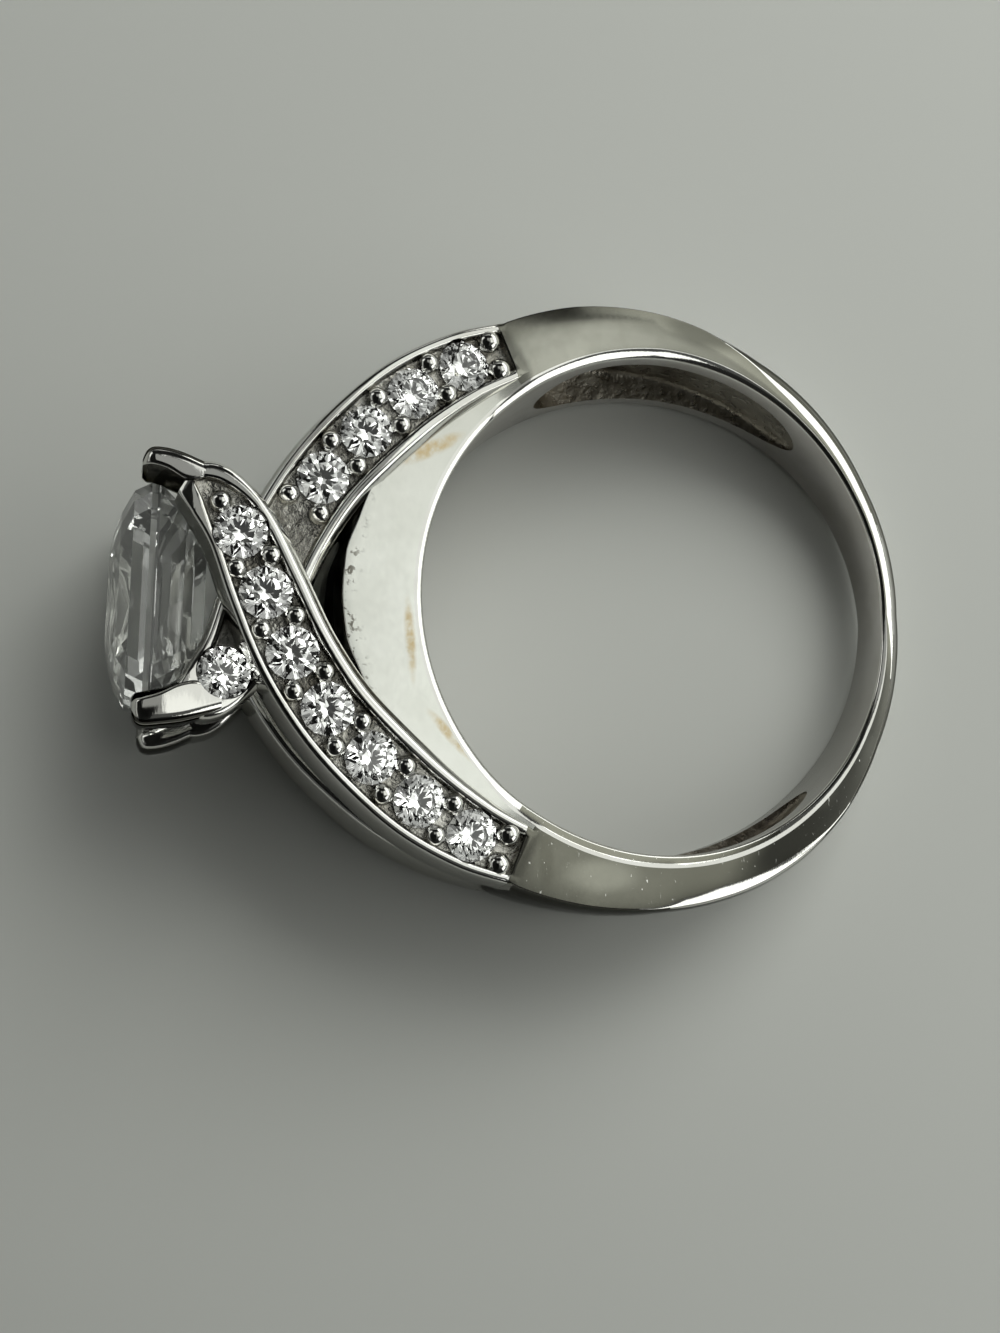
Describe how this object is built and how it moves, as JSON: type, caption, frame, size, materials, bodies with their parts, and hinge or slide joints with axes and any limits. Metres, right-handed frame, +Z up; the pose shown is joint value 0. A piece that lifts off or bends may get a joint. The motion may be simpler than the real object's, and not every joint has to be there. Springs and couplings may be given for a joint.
{
  "type": "cubic zirconia ring",
  "caption": "Finger ring in white metal with crossing stone-set arms that rise from the shank to a square corner-prong setting with a clear cushion-cut stone.",
  "frame": {"origin": "middle of the bounding box at the surface that the ring lies on", "axes": "+Y from the head with its square stone to the back of the shank, +Z up, with the finger hole's axis 8.88 degrees off +Z towards +Y"},
  "size_m": [0.021, 0.0284, 0.0103],
  "materials": {
    "white_metal": "polished, with a satin gallery and light scratches and tarnish",
    "clear_stone": "clear, facet cut"
  },
  "bodies": {
    "root": {"cast_mount": "white_metal", "centre_stone": "clear_stone", "front_over_stone_1": "clear_stone", "front_over_stone_2": "clear_stone", "front_over_stone_3": "clear_stone", "front_over_stone_4": "clear_stone", "front_over_stone_5": "clear_stone", "front_over_stone_6": "clear_stone", "front_over_stone_7": "clear_stone", "front_under_stone_1": "clear_stone", "front_under_stone_2": "clear_stone", "front_under_stone_3": "clear_stone", "front_under_stone_4": "clear_stone", "front_under_stone_5": "clear_stone", "back_over_stone_1": "clear_stone", "back_over_stone_2": "clear_stone", "back_over_stone_3": "clear_stone", "back_over_stone_4": "clear_stone", "back_over_stone_5": "clear_stone", "back_over_stone_6": "clear_stone", "back_over_stone_7": "clear_stone", "back_under_stone_1": "clear_stone", "back_under_stone_2": "clear_stone", "back_under_stone_3": "clear_stone", "back_under_stone_4": "clear_stone", "back_under_stone_5": "clear_stone"}
  },
  "joints": []
}
